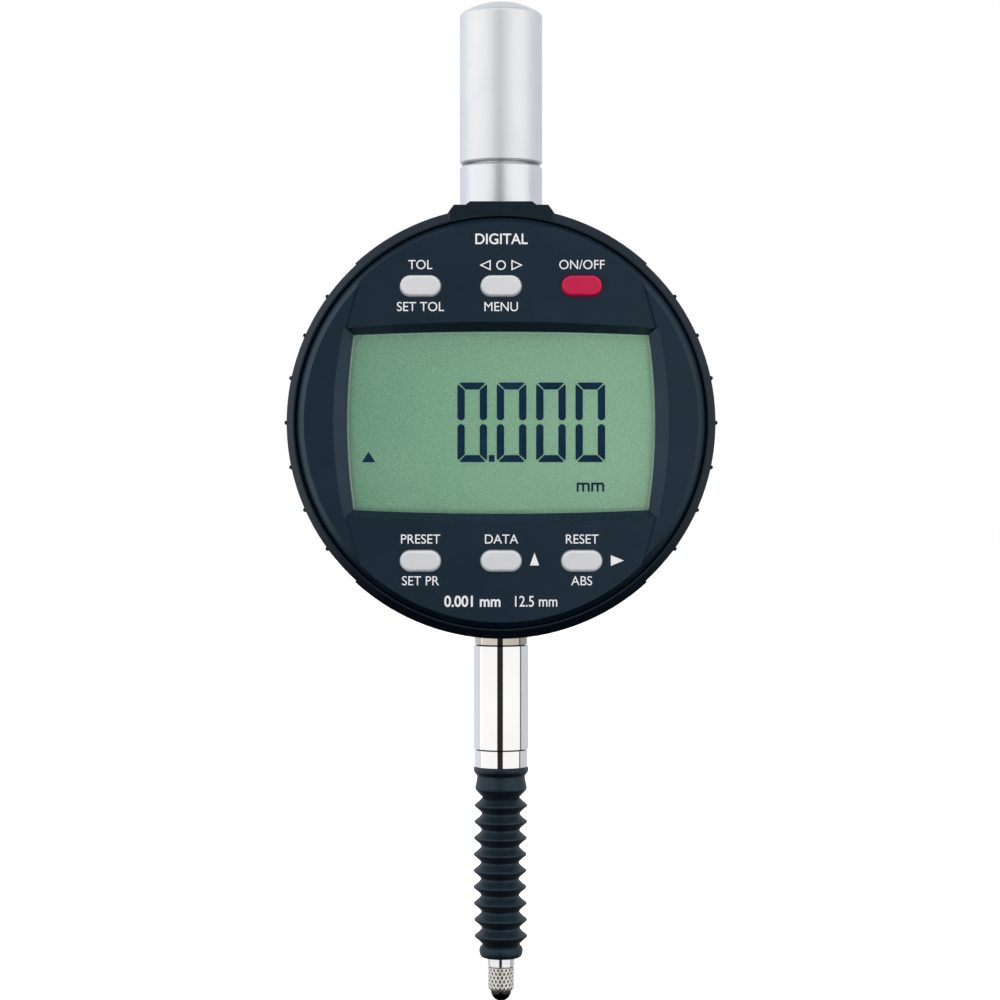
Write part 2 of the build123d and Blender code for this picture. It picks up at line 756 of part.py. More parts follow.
def bellows_inside():
    """The inside, from the bottom up: it follows the folds one wall further in."""
    grip = SPINDLE_R + 0.03
    inner_valley = BELLOWS_VALLEY_R - WALL
    inner_peak = BELLOWS_PEAK_R - WALL - 0.1
    points = [(grip, BELLOWS_END), (grip, BELLOWS_END + 1.5), (inner_valley, BELLOWS_END + 1.6)]
    for fold in reversed(range(BELLOWS_FOLDS)):
        peak = BELLOWS_FIRST_VALLEY - (fold + 0.5) * BELLOWS_PITCH
        points.append((inner_valley, peak - 0.5 * BELLOWS_PITCH))
        points.append((inner_peak, peak))
    points += [
        (inner_valley, BELLOWS_FIRST_VALLEY),
        (inner_valley, STUB_END - 0.2),
        (STUB_R, STUB_END - 0.1),
        (STUB_R, BELLOWS_TOP),
    ]
    return points


save(turned(bellows_outline() + bellows_inside()).part, "bellows")

# ---------------------------------------------------------------- display unit: bezel

WINDOW_OUTER = ((22.05, 13.5), 23.56, 14.6)
WINDOW_INNER = ((20.85, 12.35), 21.75, 12.85)
UNIT_POST_R = 1.8
UNIT_POST_RING = 24.8
UNIT_POST_ANGLES = (45, 135, 225, 315)
PLATE_FRONT = 6.9
PANEL_REACH = 31.0

key_places = [(column * KEY_PITCH, row) for row in KEY_ROWS for column in (-1, 0, 1)]

with BuildPart() as bezel:
    with BuildSketch(at_front(UNIT_REAR)):
        Circle(UNIT_R)
    extrude(amount=CREST - UNIT_REAR)
    chamfer(bezel.edges().group_by(Axis.Y)[0], EDGE_BEVEL)
    with BuildSketch(at_front(CREST)):
        add(between_crescents(CREASE_X, PANEL_REACH).line)
        make_face()
    with BuildSketch(at_front(PANEL)):
        add(between_crescents(CREASE_X - CREASE_STEP, PANEL_REACH).line)
        make_face()
    loft(mode=Mode.SUBTRACT)
    with BuildSketch(at_front(CREST)):
        add(pillow(*WINDOW_OUTER).line)
        make_face()
    with BuildSketch(at_front(WINDOW_LAND)):
        add(pillow(*WINDOW_INNER).line)
        make_face()
    loft(mode=Mode.SUBTRACT)
    with BuildSketch(at_front(FACE_REAR)):
        add(pillow(*WINDOW_INNER).line)
        make_face()
    extrude(amount=WINDOW_LAND - FACE_REAR, mode=Mode.SUBTRACT)
    with BuildSketch(at_front(UNIT_REAR)):
        Circle(UNIT_R - UNIT_WALL)
    extrude(amount=FACE_REAR - UNIT_REAR, mode=Mode.SUBTRACT)
    with BuildSketch(at_front(FACE_REAR)):
        with Locations(*key_places):
            SlotOverall(KEY_SIZE[0] + 2 * KEY_GAP, KEY_SIZE[1] + 2 * KEY_GAP)
    extrude(amount=CREST - FACE_REAR, mode=Mode.SUBTRACT)
    with BuildSketch(at_front(PLATE_FRONT)):
        for angle in UNIT_POST_ANGLES:
            with PolarLocations(UNIT_POST_RING, 1, angle):
                Circle(UNIT_POST_R)
    extrude(amount=FACE_REAR - PLATE_FRONT)
    with BuildSketch(at_front(PLATE_FRONT)):
        for angle in UNIT_POST_ANGLES:
            with PolarLocations(UNIT_POST_RING, 1, angle):
                Circle(0.8)
    extrude(amount=4.5, mode=Mode.SUBTRACT)
    with BuildSketch(at_front(8.0)):
        Circle(UNIT_R + 1)
        Circle(UNIT_R - 0.7, mode=Mode.SUBTRACT)
    extrude(amount=1.2, mode=Mode.SUBTRACT)
save(bezel.part, "display_bezel")

with BuildPart() as unit_seal:
    with BuildSketch(Plane.XY.offset(DIAL_Z)):
        with Locations((UNIT_R - 0.7 + 0.4, -8.6)):
            Circle(0.4)
    revolve(axis=Axis((0, 0, DIAL_Z), (0, 1, 0)))
save(unit_seal.part, "display_seal")

# ---------------------------------------------------------------- display unit: window and display

LENS_FLANGE = ((21.9, 13.4), 22.8, 13.9)
LENS_FACE = ((20.77, 12.27), 21.67, 12.77)
LENS_REAR = 12.2
LENS_FRONT = 13.35
LCD_SIZE = (46.0, 27.6)
LCD_REAR = 10.55
PCB_FRONT = 9.2
PCB_REAR = 8.2
PCB_R = 26.0
FRAME_SIZE = (48.0, 30.0)

with BuildPart() as lens:
    with BuildSketch(at_front(LENS_REAR)):
        add(pillow(*LENS_FLANGE).line)
        make_face()
    extrude(amount=FACE_REAR - LENS_REAR)
    with BuildSketch(at_front(FACE_REAR)):
        add(pillow(*LENS_FACE).line)
        make_face()
    extrude(amount=LENS_FRONT - FACE_REAR)
    chamfer(lens.edges().group_by(Axis.Y)[0], 0.15)
save(lens.part, "display_window")

with BuildPart() as lcd:
    with BuildSketch(at_front(LCD_REAR)):
        Rectangle(*LCD_SIZE)
    extrude(amount=LENS_REAR - 0.05 - LCD_REAR)
save(lcd.part, "lcd_panel")

with BuildPart() as lcd_frame:
    with BuildSketch(at_front(PCB_FRONT)):
        Circle(UNIT_R - UNIT_WALL - 0.2)
        Rectangle(*FRAME_SIZE, mode=Mode.INTERSECT)
        Rectangle(LCD_SIZE[0] + 0.1, LCD_SIZE[1] + 0.1, mode=Mode.SUBTRACT)
    extrude(amount=LENS_REAR - 0.05 - PCB_FRONT)
save(lcd_frame.part, "lcd_frame")

with BuildPart() as zebra:
    with BuildSketch(at_front(PCB_FRONT)):
        with Locations((0, 12.3), (0, -12.3)):
            Rectangle(40, 1.8)
    extrude(amount=LCD_REAR - PCB_FRONT)
save(zebra.part, "contact_strips")

with BuildPart() as main_board:
    with BuildSketch(at_front(PCB_REAR)):
        Circle(PCB_R)
        for angle in UNIT_POST_ANGLES:
            with PolarLocations(UNIT_POST_RING, 1, angle):
                Circle(UNIT_POST_R + 0.2, mode=Mode.SUBTRACT)
    extrude(amount=PCB_FRONT - PCB_REAR)
save(main_board.part, "main_board")

with BuildPart() as components:
    with BuildSketch(at_front(PCB_REAR)):
        with Locations((-12, 2)):
            Rectangle(10, 10)
        with Locations((12, 6)):
            Rectangle(5, 4)
        with Locations((12, -5)):
            Rectangle(6, 3)
        with Locations((0, -14)):
            Rectangle(8, 2.6)
        with Locations((0, 0)):
            Rectangle(3.4, 6.4)
    extrude(amount=PLATE_FRONT + 0.15 - PCB_REAR)
save(components.part, "board_components")

# ---------------------------------------------------------------- display unit: keys

FLANGE_FRONT = FACE_REAR - 0.05
FLANGE_REAR = 12.35
FLANGE_SIZE = (6.8, 4.1)
NUB_R = 1.1
NUB_REAR = 10.05
DOME_RISE = 0.35
KEY_NAMES = (
    "key_tolerance",
    "key_menu",
    "key_power",
    "key_preset",
    "key_data",
    "key_reset",
)

for name, place in zip(KEY_NAMES, key_places):
    with BuildPart() as key:
        with BuildSketch(at_front(FLANGE_FRONT)):
            with Locations(place):
                SlotOverall(*KEY_SIZE)
        extrude(amount=PANEL + KEY_PROUD - FLANGE_FRONT)
        fillet(key.edges().group_by(Axis.Y)[0], 0.35)
        with BuildSketch(at_front(FLANGE_REAR)):
            with Locations(place):
                SlotOverall(*FLANGE_SIZE)
        extrude(amount=FLANGE_FRONT - FLANGE_REAR)
        with BuildSketch(at_front(NUB_REAR)):
            with Locations(place):
                Circle(NUB_R)
        extrude(amount=FLANGE_REAR - NUB_REAR)
    save(key.part, name)

with BuildPart() as domes:
    with BuildSketch(at_front(PCB_FRONT)):
        with Locations(*key_places):
            Circle(2.2)
    extrude(amount=DOME_RISE, taper=60)
save(domes.part, "key_domes")

# ---------------------------------------------------------------- display unit: back plate and hub

HUB_BORE_R = 4.2
HUB_END = 3.35
HUB_SEAT = 4.1
HUB_SEAT_R = 4.9
RETAINER_R = 7.6

with BuildPart() as back_plate:
    with BuildSketch(at_front(UNIT_REAR)):
        Circle(UNIT_R - UNIT_WALL - 0.05)
    extrude(amount=PLATE_FRONT - UNIT_REAR)
    with BuildSketch(at_front(HUB_SEAT)):
        Circle(HUB_R)
    extrude(amount=UNIT_REAR - HUB_SEAT)
    with BuildSketch(at_front(HUB_END)):
        Circle(HUB_SEAT_R)
    extrude(amount=HUB_SEAT - HUB_END)
    with BuildSketch(at_front(HUB_END)):
        Circle(HUB_BORE_R)
    extrude(amount=PLATE_FRONT - HUB_END, mode=Mode.SUBTRACT)
    with BuildSketch(at_front(UNIT_REAR)):
        with Locations((0, STOP_RING)):
            Circle(STOP_PIN_R)
    extrude(amount=STOP_PIN_END - UNIT_REAR)
    for angle in UNIT_POST_ANGLES:
        with BuildSketch(at_front(UNIT_REAR)):
            with PolarLocations(UNIT_POST_RING, 1, angle):
                Circle(0.9)
        extrude(amount=PLATE_FRONT - UNIT_REAR, mode=Mode.SUBTRACT)
        with BuildSketch(at_front(UNIT_REAR)):
            with PolarLocations(UNIT_POST_RING, 1, angle):
                Circle(1.6)
        extrude(amount=0.7, mode=Mode.SUBTRACT)
save(back_plate.part, "display_back_plate")

with BuildPart() as retainer:
    with BuildSketch(at_front(HUB_END)):
        Circle(RETAINER_R)
        Circle(HUB_SEAT_R, mode=Mode.SUBTRACT)
    extrude(amount=HUB_SEAT - HUB_END)
save(retainer.part, "hub_retainer")

with BuildPart() as unit_screws:
    with BuildSketch(at_front(UNIT_REAR + 0.05)):
        for angle in UNIT_POST_ANGLES:
            with PolarLocations(UNIT_POST_RING, 1, angle):
                Circle(1.5)
    extrude(amount=0.65)
    with BuildSketch(at_front(UNIT_REAR + 0.7)):
        for angle in UNIT_POST_ANGLES:
            with PolarLocations(UNIT_POST_RING, 1, angle):
                Circle(0.8)
    extrude(amount=4.4)
save(unit_screws.part, "display_screws")
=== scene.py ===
import json
import math

import bmesh
import bpy
from mathutils import Matrix, Vector


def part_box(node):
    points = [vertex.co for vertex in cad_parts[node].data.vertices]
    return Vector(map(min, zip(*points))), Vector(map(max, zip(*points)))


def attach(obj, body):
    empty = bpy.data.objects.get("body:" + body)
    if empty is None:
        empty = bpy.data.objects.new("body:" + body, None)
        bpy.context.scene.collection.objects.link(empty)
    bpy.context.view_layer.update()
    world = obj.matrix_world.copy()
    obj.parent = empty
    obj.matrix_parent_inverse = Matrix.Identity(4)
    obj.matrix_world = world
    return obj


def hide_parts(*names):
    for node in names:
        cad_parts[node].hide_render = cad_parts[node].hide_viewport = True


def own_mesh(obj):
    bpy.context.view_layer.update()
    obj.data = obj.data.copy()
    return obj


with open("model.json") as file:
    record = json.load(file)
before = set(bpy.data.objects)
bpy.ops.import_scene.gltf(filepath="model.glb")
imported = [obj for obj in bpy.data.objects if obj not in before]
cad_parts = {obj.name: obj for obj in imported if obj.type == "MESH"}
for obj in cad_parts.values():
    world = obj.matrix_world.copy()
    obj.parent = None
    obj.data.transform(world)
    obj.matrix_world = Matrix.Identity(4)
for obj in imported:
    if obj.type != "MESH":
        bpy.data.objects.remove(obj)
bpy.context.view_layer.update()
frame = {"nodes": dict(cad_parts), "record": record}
NODES = frame["nodes"]
MM = 0.001
scene = bpy.context.scene

# ------------------------------------------------------------------ places, from the CAD boxes

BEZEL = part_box("display_bezel")
DIAL_X = (BEZEL[0].x + BEZEL[1].x) / 2
DIAL_Z = (BEZEL[0].z + BEZEL[1].z) / 2
CREST_Y = BEZEL[0].y
PANEL_Y = CREST_Y + 0.4 * MM
LCD_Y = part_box("lcd_panel")[0].y
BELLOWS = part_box("bellows")
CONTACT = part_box("contact_point")
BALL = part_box("contact_ball")
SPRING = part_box("measuring_spring")

# ------------------------------------------------------------------ materials


def linear(rgb):
    """sRGB 0-255 to linear, with alpha 1."""
    out = []
    for value in rgb:
        value /= 255
        out.append(value / 12.92 if value <= 0.04045 else ((value + 0.055) / 1.055) ** 2.4)
    return (*out, 1.0)


class Nodes:
    """A material's node tree, with short calls for the nodes used here."""

    def __init__(self, name):
        self.material = bpy.data.materials.new(name)
        self.material.use_nodes = True
        self.tree = self.material.node_tree
        self.shader = self.tree.nodes["Principled BSDF"]
        self.place = self.add("ShaderNodeTexCoord").outputs["Object"]

    def add(self, kind, **values):
        node = self.tree.nodes.new(kind)
        for key, value in values.items():
            setattr(node, key, value)
        return node

    def link(self, a, b):
        self.tree.links.new(a, b)

    def split(self):
        """The X, Y and Z outputs of the object coordinates."""
        node = self.add("ShaderNodeSeparateXYZ")
        self.link(self.place, node.inputs[0])
        return node.outputs

    def stretched(self, scale):
        """Object coordinates, scaled by three numbers."""
        node = self.add("ShaderNodeMapping")
        node.inputs["Scale"].default_value = scale
        self.link(self.place, node.inputs["Vector"])
        return node.outputs["Vector"]

    def noise(self, size_mm, detail=3.0, stretch=(1, 1, 1)):
        """Noise with features of about that size."""
        node = self.add("ShaderNodeTexNoise")
        node.inputs["Scale"].default_value = 1000.0 / size_mm
        node.inputs["Detail"].default_value = detail
        self.link(self.stretched(stretch), node.inputs["Vector"])
        return node.outputs["Fac"]

    def ranged(self, value, low, high, start=0.3, end=0.7):
        """A value from start to end, turned into one from low to high."""
        node = self.add("ShaderNodeMapRange")
        node.inputs["From Min"].default_value = start
        node.inputs["From Max"].default_value = end
        node.inputs["To Min"].default_value = low
        node.inputs["To Max"].default_value = high
        self.link(value, node.inputs["Value"])
        return node.outputs["Result"]

    def mixed(self, factor, a, b):
        """A mix of two colours, each a socket or a value."""
        node = self.add("ShaderNodeMix", data_type="RGBA")
        for socket, value in ((node.inputs[0], factor), (node.inputs[6], a), (node.inputs[7], b)):
            if hasattr(value, "links"):
                self.link(value, socket)
            else:
                socket.default_value = value
        return node.outputs[2]

    def math(self, operation, a, b=0.0, c=0.0):
        node = self.add("ShaderNodeMath", operation=operation)
        for socket, value in zip(node.inputs, (a, b, c)):
            if hasattr(value, "links"):
                self.link(value, socket)
            else:
                socket.default_value = value
        return node.outputs[0]

    def axis(self, letter, low, high):
        """0 to 1 along an axis, from low to high in the object's own coordinates."""
        return self.ranged(self.split()[letter], 0.0, 1.0, low, high)

    def radius(self):
        """The distance from the spindle's axis."""
        place = self.split()
        x_squared = self.math("POWER", place["X"], 2.0)
        return self.math("SQRT", self.math("MULTIPLY_ADD", place["Y"], place["Y"], x_squared))

    def recolour(self, factor, colour):
        """Mix another colour over the base colour."""
        base = self.shader.inputs["Base Color"]
        self.link(self.mixed(factor, base.links[0].from_socket, colour), base)

    def bump(self, height, strength, distance_mm):
        node = self.add("ShaderNodeBump")
        node.inputs["Strength"].default_value = strength
        node.inputs["Distance"].default_value = distance_mm * MM
        self.link(height, node.inputs["Height"])
        self.link(node.outputs["Normal"], self.shader.inputs["Normal"])

    def set(self, **values):
        """Set the shader's own sockets, with _ for each space in a socket's name."""
        for key, value in values.items():
            self.shader.inputs[key.replace("_", " ")].default_value = value


def surface(
    name, dark, light, rough=(0.4, 0.5), metal=0.0, grain_mm=0.2, patch_mm=6.0, bump=0.2,
    depth_mm=0.01, stretch=(1, 1, 1), **extra,
):
    """A moulded, turned or ground surface: two close colours in soft patches, and a fine grain."""
    n = Nodes(name)
    patches = n.noise(patch_mm, 4.0)
    grain = n.noise(grain_mm, 2.0, stretch)
    both = n.math("ADD", n.math("MULTIPLY", patches, 0.6), n.math("MULTIPLY", grain, 0.4))
    n.link(n.mixed(n.ranged(both, 0, 1, 0.38, 0.62), dark, light), n.shader.inputs["Base Color"])
    n.link(n.ranged(grain, *rough), n.shader.inputs["Roughness"])
    if bump:
        n.bump(grain, bump, depth_mm)
    n.set(Metallic=metal, **extra)
    return n


MATERIALS = {}


def keep(slot, nodes):
    MATERIALS[slot] = nodes.material
    return nodes


keep("case_black", surface(
    "case_black", linear((6, 20, 34)), linear((12, 29, 43)), (0.34, 0.44), grain_mm=0.16,
    bump=0.35, depth_mm=0.012, Specular_IOR_Level=0.46, Specular_Tint=(0.72, 0.89, 1, 1)))
keep("bezel_black", surface(
    "bezel_black", linear((15, 34, 50)), linear((23, 41, 57)), (0.34, 0.42), grain_mm=0.12,
    bump=0.25, depth_mm=0.008, Specular_IOR_Level=0.68, Specular_Tint=(0.56, 0.82, 1, 1)))
keep("cover_black", surface(
    "cover_black", linear((12, 18, 27)), linear((18, 27, 38)), (0.38, 0.5), grain_mm=0.25,
    bump=0.4, depth_mm=0.015))
keep("inner_plastic", surface(
    "inner_plastic", linear((30, 31, 34)), linear((40, 41, 45)), (0.45, 0.6)))
keep("strip_rubber", surface(
    "strip_rubber", linear((120, 122, 128)), linear((150, 152, 158)), (0.6, 0.8), grain_mm=0.1,
    stretch=(8, 1, 1)))
keep("board_green", surface(
    "board_green", linear((14, 84, 48)), linear((26, 104, 62)), (0.25, 0.4), grain_mm=0.6))
keep("component_black", surface(
    "component_black", linear((22, 22, 24)), linear((34, 34, 36)), (0.4, 0.6)))
keep("dome_steel", surface(
    "dome_steel", linear((205, 206, 208)), linear((228, 228, 230)), (0.18, 0.3), 1.0, 0.08))
keep("small_steel", surface(
    "small_steel", linear((168, 170, 174)), linear((196, 197, 200)), (0.25, 0.38), 1.0, 0.08))
keep("seal_rubber", surface(
    "seal_rubber", linear((22, 22, 24)), linear((32, 32, 34)), (0.6, 0.75)))
keep("flex_amber", surface(
    "flex_amber", linear((166, 98, 22)), linear((196, 124, 36)), (0.2, 0.35), grain_mm=0.4))
keep("scale_glass", surface(
    "scale_glass", linear((150, 160, 165)), linear((196, 202, 204)), (0.05, 0.12), grain_mm=0.2,
    stretch=(0.02, 0.02, 4)))
keep("carrier_aluminium", surface(
    "carrier_aluminium", linear((200, 202, 204)), linear((222, 223, 225)), (0.3, 0.42), 1.0, 0.06,
    stretch=(1, 1, 12)))
keep("spindle_steel", surface(
    "spindle_steel", linear((226, 226, 228)), linear((240, 240, 240)), (0.08, 0.16), 1.0, 0.05,
    stretch=(1, 1, 20), bump=0.06, depth_mm=0.002))
keep("bush_brass", surface(
    "bush_brass", linear((206, 170, 98)), linear((226, 192, 120)), (0.2, 0.32), 1.0, 0.08))
keep("spring_steel", surface(
    "spring_steel", linear((150, 152, 156)), linear((180, 182, 186)), (0.2, 0.32), 1.0, 0.08))
keep("collar_steel", surface(
    "collar_steel", linear((240, 243, 247)), linear((247, 249, 251)), (0.37, 0.43), 1.0, 0.05,
    stretch=(1, 1, 14), bump=0.1, depth_mm=0.003))
contact_metal = keep("contact_steel", surface(
    "contact_steel", linear((238, 232, 222)), linear((252, 248, 241)), (0.38, 0.5), 1.0, 0.08,
    bump=0.1, depth_mm=0.004))
keep("ball_carbide", surface(
    "ball_carbide", linear((40, 40, 42)), linear((58, 58, 60)), (0.1, 0.2), 1.0, 0.06, bump=0.05,
    depth_mm=0.002))
stem = keep("stem_steel", surface(
    "stem_steel", linear((244, 242, 240)), linear((250, 249, 247)), (0.03, 0.05), 1.0, 0.05, 12.0,
    stretch=(1, 1, 30), bump=0.02, depth_mm=0.0008))
# The neck above the clamping length is turned, not ground, and painted shade darkens it towards the right.
# The two seam grooves are painted dark as shade.
STEM_R = 4 * MM
NECK_Z = (7.6 * MM, 7.7 * MM)
SEAM_R = (3.62 * MM, 3.72 * MM)
neck = stem.mixed(stem.axis("X", -STEM_R, STEM_R), linear((214, 207, 199)), linear((176, 168, 154)))
stem.recolour(stem.axis("Z", *NECK_Z), neck)
# Painted shade in the seam grooves, wherever the stem lies below its full radius.
stem.recolour(stem.ranged(stem.radius(), 1, 0, *SEAM_R), linear((52, 50, 48)))
keep("cap_aluminium", surface(
    "cap_aluminium", linear((248, 250, 252)), linear((254, 255, 255)), (0.5, 0.56), 1.0, 0.09,
    bump=0.12, depth_mm=0.004))
keep("battery_steel", surface(
    "battery_steel", linear((205, 205, 206)), linear((226, 226, 226)), (0.16, 0.26), 1.0, 0.1))
keep("plug_rubber", surface(
    "plug_rubber", linear((26, 29, 33)), linear((36, 39, 44)), (0.55, 0.7)))
grey_key = keep("key_grey", surface(
    "key_grey", linear((246, 249, 252)), linear((251, 252, 254)), (0.35, 0.45), grain_mm=0.15,
    bump=0.12, depth_mm=0.006))
# The emission is a painted glow that makes the grey keys brighter than the lamps alone make them.
grey_key.set(Emission_Strength=0.14, Emission_Color=(0.95, 0.97, 1.0, 1))
red_key = keep("key_red", surface(
    "key_red", linear((222, 22, 82)), linear((230, 28, 90)), (0.35, 0.45), grain_mm=0.15,
    bump=0.12, depth_mm=0.006))
# The emission is a painted glow that makes the red key brighter than the lamps alone make it.
red_key.set(Emission_Strength=0.12, Emission_Color=(0.8, 0.01, 0.09, 1))
rubber = keep("bellows_rubber", surface(
    "bellows_rubber", linear((7, 21, 36)), linear((16, 34, 50)), (0.42, 0.54), grain_mm=0.18,
    patch_mm=3.0, bump=0.3, depth_mm=0.012, Specular_IOR_Level=0.62, Specular_Tint=(0.66, 0.88, 1, 1)))
rubber.set(Sheen_Weight=0.08, Sheen_Roughness=0.4)

window = keep("window_clear", Nodes("window_clear"))
window.set(Transmission_Weight=1.0, IOR=1.49, Base_Color=(0.96, 0.985, 0.97, 1.0))
window.link(window.ranged(window.noise(4.0), 0.0, 0.02), window.shader.inputs["Roughness"])

# The display glass: a grey-green with painted shading that lightens it to the right, and a fine speckle.
lcd_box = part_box("lcd_panel")
lcd = keep("lcd_green", Nodes("lcd_green"))
rightward_painted_shading = lcd.axis("X", lcd_box[0].x, lcd_box[1].x)
speckle = lcd.noise(0.14, 2.0, (1, 1, 0.7))
drift = lcd.noise(9.0, 2.0)
tone = lcd.mixed(rightward_painted_shading, linear((106, 158, 130)), linear((146, 190, 158)))
tone = lcd.mixed(lcd.ranged(drift, 0, 0.3), tone, linear((134, 172, 146)))
tone = lcd.mixed(lcd.ranged(speckle, 0.22, 0.0, 0.36, 0.5), tone, linear((84, 132, 108)))
tone = lcd.mixed(lcd.ranged(speckle, 0.0, 0.24, 0.5, 0.64), tone, linear((196, 222, 180)))
lcd.link(tone, lcd.shader.inputs["Base Color"])
lcd.link(lcd.ranged(speckle, 0.3, 0.42), lcd.shader.inputs["Roughness"])
lcd.bump(speckle, 0.1, 0.004)

segment = surface("lcd_segment", linear((2, 36, 62)), linear((6, 44, 70)), (0.4, 0.5), bump=0)
segment.set(Specular_IOR_Level=0.1)
print_white = surface("legend_white", linear((253, 253, 254)), linear((255, 255, 255)), (0.5, 0.6),
                      bump=0.1)
# The emission is a painted glow that brightens the white print.
print_white.set(Emission_Strength=0.3, Emission_Color=(1, 1, 1, 1))

for row in frame["record"]["subparts"]:
    node = NODES[row["node"]]
    node.data.materials.clear()
    node.data.materials.append(MATERIALS[row["material_slot"]])

NODES["display_window"].visible_shadow = False

# ------------------------------------------------------------------ building helpers


def new_piece(name, bm, material, body, smooth=None):
    """One piece from a bmesh: its material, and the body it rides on."""
    mesh = bpy.data.meshes.new(name)
    bmesh.ops.recalc_face_normals(bm, faces=bm.faces)
    bm.to_mesh(mesh)
    bm.free()
    mesh.materials.append(material)
    if smooth is not None:
        mesh.shade_smooth()
        mesh.set_sharp_from_angle(angle=math.radians(smooth))
    piece = bpy.data.objects.new(name, mesh)
    scene.collection.objects.link(piece)
    if body:
        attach(piece, body)
    return piece


def prism(bm, outline, back_y, front_y):
    """A closed flat shape in x and z, extruded along y."""
    back = [bm.verts.new((x, back_y, z)) for x, z in outline]
    front = [bm.verts.new((x, front_y, z)) for x, z in outline]
    bm.faces.new(back)
    bm.faces.new(reversed(front))
    for i, corner in enumerate(back):
        j = (i + 1) % len(back)
        bm.faces.new((corner, front[i], front[j], back[j]))


def lathe(bm, profile, steps, middle=lambda z: (0.0, 0.0)):
    """A closed profile of (radius, z) turned about the Z axis; middle gives the axis at each z."""
    rings = []
    for radius, z in profile:
        cx, cy = middle(z)
        rings.append([
            bm.verts.new((
                cx + radius * math.cos(2 * math.pi * s / steps),
                cy + radius * math.sin(2 * math.pi * s / steps),
                z,
            ))
            for s in range(steps)
        ])
    for a, b in zip(rings, rings[1:] + rings[:1]):
        for s in range(steps):
            t = (s + 1) % steps
            bm.faces.new((a[s], a[t], b[t], b[s]))


# ------------------------------------------------------------------ what the display shows

LCD_INK = (LCD_Y - 0.01 * MM, LCD_Y - 0.03 * MM)  # the segments' back and front
# Sizes in mm, and places in mm from the middle of the dial.
DIGIT_W = 4.2
DIGIT_H = 11.26
DIGIT_PITCH = 5.56
STROKE = 1.05
BAR = 1.0
MITRE = 0.09  # half the hairline gap across a digit's corners, along either edge
CORNER = 0.5
SIDE_GAP = 0.28  # half the gap halfway down each side
SIDE_POINT = 0.6  # how far from the middle a side starts to narrow
SIDE_CUT = 0.3  # how far each of its corners is cut in
DIGIT_LEFT = -6.17
DIGIT_TOP = 5.71
DOT_LEFT = -1.72
DOT_LOW = DIGIT_TOP - DIGIT_H + 0.05
DOT_W = 0.8
DOT_H = 0.95
UNIT_LETTERS = (10.68, 12.73)  # the left of each m
UNIT_LEGS = (0.77, 1.55)  # the left of a letter's second and third legs
UNIT_STROKE = 0.3
UNIT_W = 1.85
UNIT_CUT_W = 1.68  # the letter's width along its top, where the corner is cut
UNIT_LOW = -9.72
UNIT_HIGH = -8.44


def at_dial(points):
    """Points in mm from the middle of the dial, to x and z in metres."""
    return [(DIAL_X + x * MM, DIAL_Z + z * MM) for x, z in points]


def lcd_shape(bm, points):
    prism(bm, at_dial(points), *LCD_INK)


def zero_digit(bm, left, top):
    """A seven-segment 0: round-cornered, with hairline mitres and a gap halfway down each side."""
    for across in (1, -1):
        start = left if across == 1 else left + DIGIT_W
        for down in (1, -1):
            edge = top if down == 1 else top - DIGIT_H
            upright = [(STROKE, BAR + MITRE)]
            bar = [(DIGIT_W / 2, BAR), (STROKE + MITRE, BAR)]
            for degrees in range(0, 50, 10):
                turn = math.radians(degrees)
                x, z = CORNER - CORNER * math.cos(turn), CORNER - CORNER * math.sin(turn)
                bar.append((z + MITRE, x))
                upright.append((x, z + MITRE))
            bar = bar[:2] + bar[:1:-1] + [(DIGIT_W / 2, 0)]
            upright = [upright[0]] + upright[:0:-1] + [
                (0, DIGIT_H / 2 - SIDE_POINT),
                (SIDE_CUT, DIGIT_H / 2 - SIDE_GAP),
                (STROKE - SIDE_CUT, DIGIT_H / 2 - SIDE_GAP),
                (STROKE, DIGIT_H / 2 - SIDE_POINT),
            ]
            for outline in (upright, bar):
                lcd_shape(bm, [(start + across * x, edge - down * z) for x, z in outline])


digits = bmesh.new()
for place in range(4):
    zero_digit(digits, DIGIT_LEFT + place * DIGIT_PITCH, DIGIT_TOP)
new_piece("lcd_digits", digits, segment.material, "display_unit")

dot = bmesh.new()
lcd_shape(dot, [
    (DOT_LEFT, DOT_LOW), (DOT_LEFT + DOT_W, DOT_LOW),
    (DOT_LEFT + DOT_W, DOT_LOW + DOT_H), (DOT_LEFT, DOT_LOW + DOT_H)])
new_piece("lcd_decimal_point", dot, segment.material, "display_unit")

mark = bmesh.new()
lcd_shape(mark, [(-19.67, -5.57), (-17.77, -5.57), (-18.72, -4.07)])
new_piece("lcd_tolerance_mark", mark, segment.material, "display_unit")

# The unit, mm: each letter is a full-height leg, and two more under a bar with a cut corner.
unit = bmesh.new()
for left in UNIT_LETTERS:
    bar_left = left + UNIT_STROKE
    bar_low = UNIT_HIGH - UNIT_STROKE
    lcd_shape(unit, [(left, UNIT_LOW), (bar_left, UNIT_LOW), (bar_left, UNIT_HIGH), (left, UNIT_HIGH)])
    lcd_shape(unit, [
        (bar_left, bar_low), (left + UNIT_W, bar_low),
        (left + UNIT_CUT_W, UNIT_HIGH), (bar_left, UNIT_HIGH)])
    for leg in UNIT_LEGS:
        lcd_shape(unit, [
            (left + leg, UNIT_LOW), (left + leg + UNIT_STROKE, UNIT_LOW),
            (left + leg + UNIT_STROKE, bar_low), (left + leg, bar_low)])
new_piece("lcd_unit", unit, segment.material, "display_unit")
